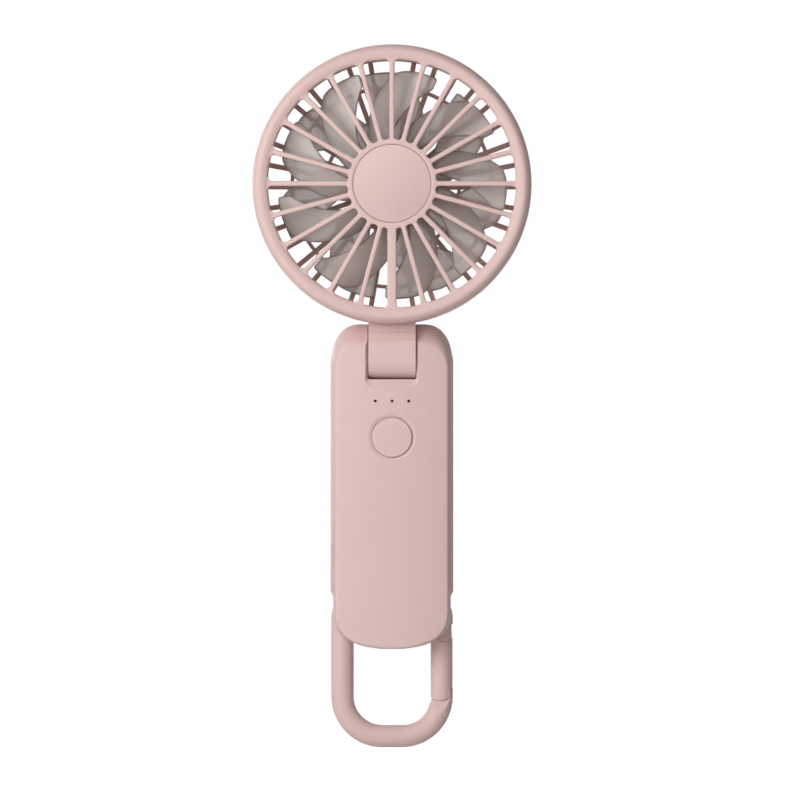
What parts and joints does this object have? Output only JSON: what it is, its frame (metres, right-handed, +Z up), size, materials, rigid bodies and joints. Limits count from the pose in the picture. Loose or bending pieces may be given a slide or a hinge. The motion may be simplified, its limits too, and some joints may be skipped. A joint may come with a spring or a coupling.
{
  "type": "folding handheld fan",
  "caption": "Folding handheld fan: round spoked head with contra-turning rotors on a hinged neck, slim grip with push button, and a swinging snap-hook loop with a sprung gate.",
  "frame": {"origin": "centre of the hand grip, midway between the handle's front and back faces", "axes": "+Z up from the grip to the head, +Y to the back of the handle, +X to the gate side of the loop; the fan blows towards -Y"},
  "size_m": [0.0838, 0.0372, 0.2115],
  "materials": {
    "shell_pink": "satin moulded plastic, dusty pink",
    "grille_pink": "satin moulded plastic, dusty pink",
    "button_pink": "fine satin plastic, dusty pink",
    "loop_pink": "satin coated rod, dusty pink",
    "rubber_pink": "soft moulded rubber, dusty pink",
    "rotor_smoke": "translucent smoky grey",
    "lens_smoke": "dark translucent pins",
    "steel": "plain turned steel",
    "winding_copper": "enamelled copper windings on laminated steel",
    "magnet_dark": "bonded ferrite",
    "board_green": "glass-fibre board with solder mask",
    "switch_black": "black moulded plastic",
    "led_white": "white lamp packages",
    "foil_grey": "pouch foil",
    "lead_red": "insulated leads",
    "screw_dark": "blackened steel"
  },
  "bodies": {
    "handle": {"front_shell": "shell_pink", "rear_shell": "shell_pink", "loop_clamp": "shell_pink", "clamp_screws": "screw_dark", "button_switch": "switch_black", "circuit_board": "board_green", "indicator_leds": "led_white", "light_pipes": "lens_smoke", "usb_socket": "steel", "battery_cell": "foil_grey", "battery_leads": "lead_red", "shell_screws": "screw_dark", "hinge_pin": "steel", "hinge_washers": "steel", "hinge_rings": "steel"},
    "head": {"front_grille": "grille_pink", "front_cap": "grille_pink", "rear_grille": "grille_pink", "rear_cap": "grille_pink", "neck": "shell_pink", "front_motor_base": "steel", "rear_motor_base": "steel", "front_motor_board": "board_green", "rear_motor_board": "board_green", "front_stator": "winding_copper", "rear_stator": "winding_copper", "front_motor_screws": "steel", "rear_motor_screws": "steel"},
    "front_rotor_set": {"front_rotor": "rotor_smoke", "front_magnet_ring": "magnet_dark", "front_rotor_shaft": "steel"},
    "rear_rotor_set": {"rear_rotor": "rotor_smoke", "rear_magnet_ring": "magnet_dark", "rear_rotor_shaft": "steel"},
    "button": {"power_button": "button_pink"},
    "port_flap": {"port_cover": "rubber_pink"},
    "loop": {"loop_frame": "loop_pink", "gate_pin": "loop_pink"},
    "gate": {"loop_gate": "loop_pink"}
  },
  "joints": [
    {"name": "neck_fold", "type": "hinge", "parent": "handle", "child": "head", "pos_m": [0, -0.0059, 0.0417], "axis": [1, 0, 0], "range_deg": [0, 90]},
    {"name": "front_rotor_spin", "type": "hinge", "parent": "head", "child": "front_rotor_set", "pos_m": [0, -0.0092, 0.09475], "axis": [0, 1, 0], "continuous": true},
    {"name": "rear_rotor_spin", "type": "hinge", "parent": "head", "child": "rear_rotor_set", "pos_m": [0, 0.0068, 0.09475], "axis": [0, 1, 0], "continuous": true},
    {"name": "power_press", "type": "slide", "parent": "handle", "child": "button", "axis": [0, 1, 0], "range_m": [0, 0.0004], "stiffness_N_per_m": 2000, "springref_m": -0.0004},
    {"name": "port_flap_hinge", "type": "hinge", "parent": "handle", "child": "port_flap", "pos_m": [-0.0179, -0.0059, -0.0275], "axis": [0, -1, 0], "range_deg": [0, 115]},
    {"name": "loop_swing", "type": "hinge", "parent": "handle", "child": "loop", "pos_m": [0, 0.0008, -0.029], "axis": [1, 0, 0], "range_deg": [0, 90]},
    {"name": "gate_hinge", "type": "hinge", "parent": "loop", "child": "gate", "pos_m": [0.0158, 0.0008, -0.0401], "axis": [0, 1, 0], "range_deg": [0, 28], "stiffness_Nm_per_rad": 0.02, "springref_deg": -20.05}
  ]
}
